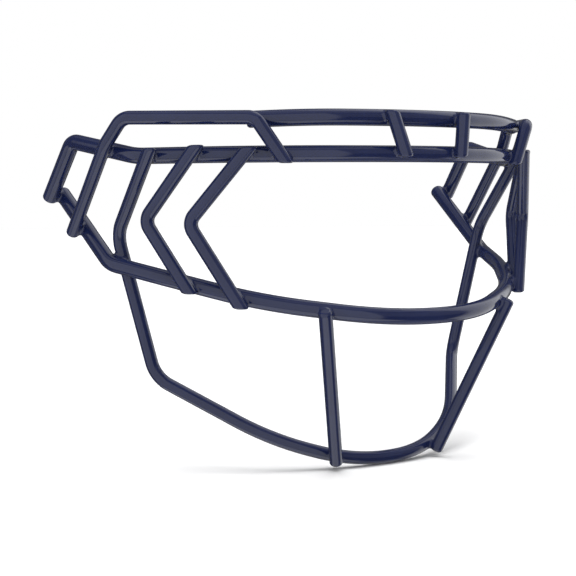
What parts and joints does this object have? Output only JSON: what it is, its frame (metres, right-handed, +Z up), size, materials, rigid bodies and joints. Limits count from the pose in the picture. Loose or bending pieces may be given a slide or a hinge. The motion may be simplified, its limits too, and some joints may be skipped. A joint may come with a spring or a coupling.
{
  "type": "football face guard",
  "caption": "Welded cage of coated round steel wire that guards a football player's face and clips to the helmet.",
  "frame": {"origin": "under the middle of the guard, at the height of its lowest point", "axes": "+Z up, with the lower brow bar level; the guard faces -Y; +X is the wearer's left"},
  "size_m": [0.247, 0.1433, 0.1599],
  "materials": {
    "coated_wire": "glossy navy coating over steel wire"
  },
  "bodies": {
    "root": {"upper_brow_bar": "coated_wire", "lower_brow_bar": "coated_wire", "jaw_bar": "coated_wire", "chin_bar": "coated_wire", "side_hoop_left": "coated_wire", "side_hoop_right": "coated_wire", "chevron_rear_left": "coated_wire", "chevron_rear_right": "coated_wire", "chevron_front_left": "coated_wire", "chevron_front_right": "coated_wire", "brow_strut_left": "coated_wire", "brow_strut_right": "coated_wire", "chin_strut_left": "coated_wire", "chin_strut_right": "coated_wire", "upper_brow_welds": "coated_wire", "brow_front_welds": "coated_wire", "brow_side_welds": "coated_wire", "jaw_side_welds": "coated_wire", "rear_leg_welds": "coated_wire", "chin_welds": "coated_wire"}
  },
  "joints": []
}
